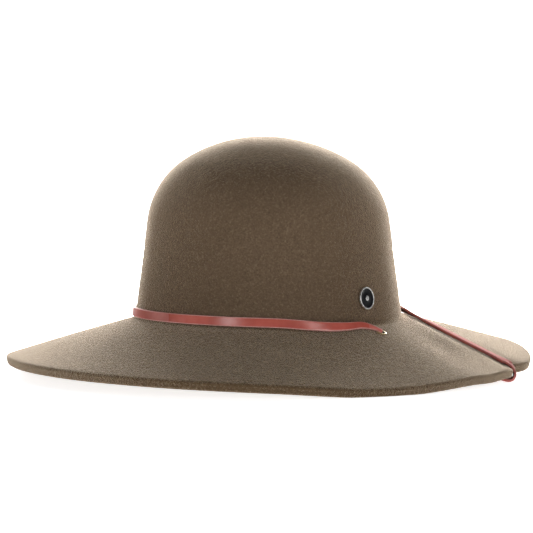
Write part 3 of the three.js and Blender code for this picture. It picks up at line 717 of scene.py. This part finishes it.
# A material's nodes
class Nodes:
    def __init__(self, name):
        self.material = bpy.data.materials.new(name)
        self.material.use_nodes = True
        self.tree = self.material.node_tree
        self.shader = self.tree.nodes["Principled BSDF"]
        coordinates = self.tree.nodes.new("ShaderNodeTexCoord")
        self.place = coordinates.outputs["Object"]
        self.facing = coordinates.outputs["Normal"]

    def link(self, source, target):
        self.tree.links.new(source, target)

    def noise(self, scale, detail, roughness, distortion=0.0, place=None):
        node = self.tree.nodes.new("ShaderNodeTexNoise")
        node.inputs["Scale"].default_value = scale
        node.inputs["Detail"].default_value = detail
        node.inputs["Roughness"].default_value = roughness
        node.inputs["Distortion"].default_value = distortion
        self.link(place or self.place, node.inputs["Vector"])
        return node.outputs["Fac"]

    def stretched(self, scale, turn):
        node = self.tree.nodes.new("ShaderNodeMapping")
        node.inputs["Scale"].default_value = scale
        node.inputs["Rotation"].default_value = turn
        self.link(self.place, node.inputs["Vector"])
        return node.outputs["Vector"]

    def along(self, vector, axis):
        node = self.tree.nodes.new("ShaderNodeSeparateXYZ")
        self.link(vector, node.inputs[0])
        return node.outputs[axis]

    def ramp(self, fac, stops):
        node = self.tree.nodes.new("ShaderNodeValToRGB")
        while len(node.color_ramp.elements) < len(stops):
            node.color_ramp.elements.new(0.5)
        for element, (position, colour) in zip(node.color_ramp.elements, stops):
            element.position = position
            element.color = (*colour, 1)
        self.link(fac, node.inputs["Fac"])
        return node.outputs["Color"]

    def math(self, operation, *values):
        node = self.tree.nodes.new("ShaderNodeMath")
        node.operation = operation
        for socket, value in zip(node.inputs, values):
            if isinstance(value, (int, float)):
                socket.default_value = value
            else:
                self.link(value, socket)
        return node.outputs["Value"]

    # How far a value is past a start, as a share of a length either way, from 0 to 1
    def share_past(self, value, start, length):
        share = self.math("DIVIDE", self.math("SUBTRACT", value, start), length)
        share.node.use_clamp = True
        return share

    # A sum of values, each by its weight
    def weighted(self, *rows):
        total = 0.0
        for value, weight in rows:
            total = self.math("MULTIPLY_ADD", value, weight, total)
        return total

    def mix(self, blend, fac, a, b):
        node = self.tree.nodes.new("ShaderNodeMix")
        node.data_type = "RGBA"
        node.blend_type = blend
        for number, value in ((0, fac), (6, a), (7, b)):
            if isinstance(value, (int, float)):
                node.inputs[number].default_value = value
            elif isinstance(value, tuple):
                node.inputs[number].default_value = (*value, 1)
            else:
                self.link(value, node.inputs[number])
        return node.outputs[2]

    def bump(self, height, distance, strength):
        node = self.tree.nodes.new("ShaderNodeBump")
        node.inputs["Distance"].default_value = distance
        node.inputs["Strength"].default_value = strength
        self.link(height, node.inputs["Height"])
        self.link(node.outputs["Normal"], self.shader.inputs["Normal"])

    def paint(self, colour):
        self.link(colour, self.shader.inputs["Base Color"])

    def set(self, **values):
        for name, value in values.items():
            self.shader.inputs[name.replace("_", " ")].default_value = value


# A material that runs between two colours with a fine grain, which may also stand up as a bump and add to
# the roughness
def grained(name, grain, dark, pale, pale_at=0.7, bump=None, rough=None, **values):
    made = Nodes(name)
    pattern = made.noise(*grain)
    made.paint(made.ramp(pattern, [(0.3, dark), (pale_at, pale)]))
    if bump:
        made.bump(pattern, *bump)
    if rough:
        least, more = rough
        made.link(made.math("MULTIPLY_ADD", pattern, more, least), made.shader.inputs["Roughness"])
    made.set(**values)
    return made.material


# Wool felt: flecked fibres with a nap. The nap stands up more on the brim, which is less worn than the
# crown, and the flecks show most on the brim's top.
def wool_felt():
    made = Nodes("wool_felt")
    heather = made.noise(1100, 4, 0.65, 0.4)
    fibres_one = made.noise(1, 2, 0.6, 0.6, made.stretched((2600, 500, 1500), (0.3, 0.9, 0.5)))
    fibres_two = made.noise(1, 2, 0.6, 0.6, made.stretched((500, 2600, 1700), (0.8, 0.2, 1.2)))
    tufts = made.noise(1, 3, 0.65, 0.5, made.stretched((800, 260, 800), (0, 0, 0)))
    flecks = made.weighted((heather, 0.3), (fibres_one, 0.125), (fibres_two, 0.125), (tufts, 0.45))
    on_brim = made.share_past(made.along(made.place, "Z"), BRIM_NAP_TOP, -BRIM_NAP_BLEND)
    faces_up = made.share_past(made.along(made.facing, "Z"), 0.6, 0.25)
    contrast = made.math("MULTIPLY_ADD", made.math("MULTIPLY", on_brim, faces_up), 0.65, 0.3)
    plain = made.mix("MIX", on_brim, rgb(98, 82, 67), rgb(100, 81, 60))
    flecked = made.ramp(flecks, [
        (0.40, rgb(59, 45, 32)), (0.47, rgb(92, 75, 56)),
        (0.53, rgb(118, 98, 75)), (0.60, rgb(165, 142, 113)),
    ])
    clouds = made.ramp(made.noise(22, 3, 0.5), [(0.35, (0.93, 0.93, 0.92)), (0.65, (1, 1, 1))])
    made.paint(made.mix("MULTIPLY", 1.0, made.mix("MIX", contrast, plain, flecked), clouds))
    nap = made.math("MULTIPLY", flecks, made.math("MULTIPLY_ADD", on_brim, BRIM_NAP_MORE, 1.0))
    made.bump(nap, 0.0016, 1.0)
    made.set(Roughness=0.95, Specular_IOR_Level=0.04)
    made.set(Sheen_Weight=1.0, Sheen_Roughness=0.24, Sheen_Tint=(*rgb(255, 233, 206), 1))
    return made.material


# The lace's smooth side. It is duller towards both sides of the hat, where it bends most, and painted shade
# darkens its colour towards the wearer's right.
def lace_grain():
    made = Nodes("lace_grain")
    streaks = made.ramp(made.noise(60, 3, 0.55), [
        (0.3, rgb(162, 74, 62)), (0.55, rgb(180, 86, 73)), (0.75, rgb(194, 102, 90)),
    ])
    across = made.along(made.place, "X")
    # Painted shade: the colour is darkened towards the wearer's right end of the lace
    painted_shade_right = made.share_past(across, -0.05, -1 / 60)
    to_side = made.share_past(made.math("ABSOLUTE", across), 0.062, 1 / 60)
    made.paint(made.mix("MULTIPLY", painted_shade_right, streaks, (0.74, 0.72, 0.7)))
    made.bump(made.noise(1400, 4, 0.6), 0.00012, 0.5)
    made.link(made.math("MULTIPLY_ADD", to_side, 0.62, 0.27), made.shader.inputs["Roughness"])
    made.set(Specular_IOR_Level=0.5)
    return made.material


def dress(piece, *materials):
    piece.data.materials.clear()
    for material in materials:
        piece.data.materials.append(material)


dress(felt, wool_felt())

# The lace: its smooth side, its paler cut edges, its flesh side, and the dull stretch across the brim, whose
# paler pink colour is a painted reflection of the back light
SMOOTH, FLESH, MATT_PAINTED_REFLECTION, CUT = range(4)
lace_flesh = grained(
    "lace_flesh", (1100, 5, 0.7), rgb(80, 40, 36), rgb(112, 62, 54), bump=(0.0003, 0.6), Roughness=0.85)
# The stretch across the brim: dull leather with no specular, its paler pink colour a painted reflection of
# the back light
lace_matt_painted_reflection = grained(
    "lace_matt_painted_reflection", (900, 4, 0.6), rgb(158, 88, 82), rgb(186, 112, 104), bump=(0.00015, 0.5),
    Roughness=0.9, Sheen_Weight=0.12, Sheen_Roughness=0.5, Specular_IOR_Level=0.0)
lace_cut = grained(
    "lace_cut", (1300, 4, 0.6), rgb(186, 128, 122), rgb(214, 160, 152), bump=(0.00015, 0.5),
    Roughness=0.8, Specular_IOR_Level=0.1)
dress(lace, lace_grain(), lace_flesh, lace_matt_painted_reflection, lace_cut)

section = lace_section()
for number, polygon in enumerate(lace.data.polygons):
    first = section[number % lace_around]
    beside = section[(number + 1) % lace_around]
    across, up = (first + beside) / 2
    if up < -LACE_THICKNESS * 0.3:
        polygon.material_index = FLESH
    elif polygon.center[0] > LACE_OFF_CROWN:
        polygon.material_index = MATT_PAINTED_REFLECTION
    elif abs(across) > LACE_WIDTH / 2 - LACE_CORNER + 0.1:
        polygon.material_index = CUT

# The eyelet: pale gold, and dull in its bore, where painted shade makes it dark
pale_gold = grained(
    "pale_gold", (700, 4, 0.6), rgb(168, 146, 108), rgb(200, 178, 138), bump=(0.00005, 0.5), rough=(0.3, 0.3),
    Metallic=1)
# Painted shade: the bore is coloured near black where the hole lies in shade
dull_bore_painted_shade = grained("dull_bore_painted_shade", (900, 3, 0.6), rgb(34, 28, 24), rgb(58, 48, 40), Roughness=0.8)
dress(eyelet, pale_gold, dull_bore_painted_shade)
for polygon in eyelet.data.polygons:
    from_middle = np.array(polygon.center) / MM - eyelet_at
    from_axis = np.linalg.norm(from_middle - (from_middle @ eyelet_out) * eyelet_out)
    polygon.material_index = 1 if from_axis < EYELET_HOLE + 0.08 else 0

# The badge
aged_silver = grained(
    "aged_silver", (900, 5, 0.65), rgb(158, 156, 155), rgb(222, 221, 219), pale_at=0.65, bump=(0.0001, 0.6),
    rough=(0.15, 0.3), Metallic=1)
dark_enamel = grained(
    "dark_enamel", (500, 3, 0.5), rgb(5, 5, 8), rgb(10, 11, 16), bump=(0.00003, 0.4),
    Roughness=0.32, Specular_IOR_Level=0.12)
dress(badge, aged_silver)
dress(button, aged_silver)
dress(enamel, dark_enamel)


# Floor and backdrop: one pale sweep
def sweep():
    line = [(SWEEP_NEAR, 0.0), (SWEEP_FAR - SWEEP_BEND, 0.0)]
    for turn in np.linspace(0, math.pi / 2, 17)[1:]:
        out, up = SWEEP_BEND * math.sin(turn), SWEEP_BEND * (1 - math.cos(turn))
        line.append((SWEEP_FAR - SWEEP_BEND + out, up))
    line.append((SWEEP_FAR, SWEEP_RISE))
    vertices = [(x / MM, y / MM, z / MM) for y, z in line for x in (-SWEEP_SIDE, SWEEP_SIDE)]
    return make_object("floor_sweep", vertices, grid_faces(len(line), 2, False, False))


floor = sweep()
facing_out(floor)
pale_floor = grained(
    "pale_floor", (40, 4, 0.5), (0.8, 0.8, 0.8), (0.82, 0.82, 0.82),
    Roughness=0.9, Emission_Color=(1, 1, 1, 1), Emission_Strength=FLOOR_GLOW)
dress(floor, pale_floor)


# Light
def area(name, at, aim, size, watts):
    data = bpy.data.lights.new(name, "AREA")
    data.shape = "RECTANGLE"
    data.size, data.size_y = size
    data.energy = watts
    lamp = bpy.data.objects.new(name, data)
    way = np.array(aim) - np.array(at)
    lamp.location = at
    flat = math.hypot(way[0], way[1])
    lamp.rotation_euler = (math.pi / 2 + math.atan2(way[2], flat), 0, math.atan2(-way[0], way[1]))
    bpy.context.scene.collection.objects.link(lamp)


for box in SOFT_BOXES:
    bearing = radians(box["bearing"])
    stands = (box["far"] * math.sin(bearing), -box["far"] * math.cos(bearing), box["height"])
    area(box["name"], stands, LIT_POINT, box["size"], box["watts"])
area(**BACKDROP_LAMP)

world = bpy.data.worlds.new("studio")
world.use_nodes = True
background = world.node_tree.nodes["Background"]
background.inputs["Color"].default_value = (1, 1, 1, 1)
background.inputs["Strength"].default_value = WORLD_STRENGTH
bpy.context.scene.world = world
bpy.context.scene.view_settings.view_transform = "Standard"
bpy.context.scene.view_settings.look = "None"
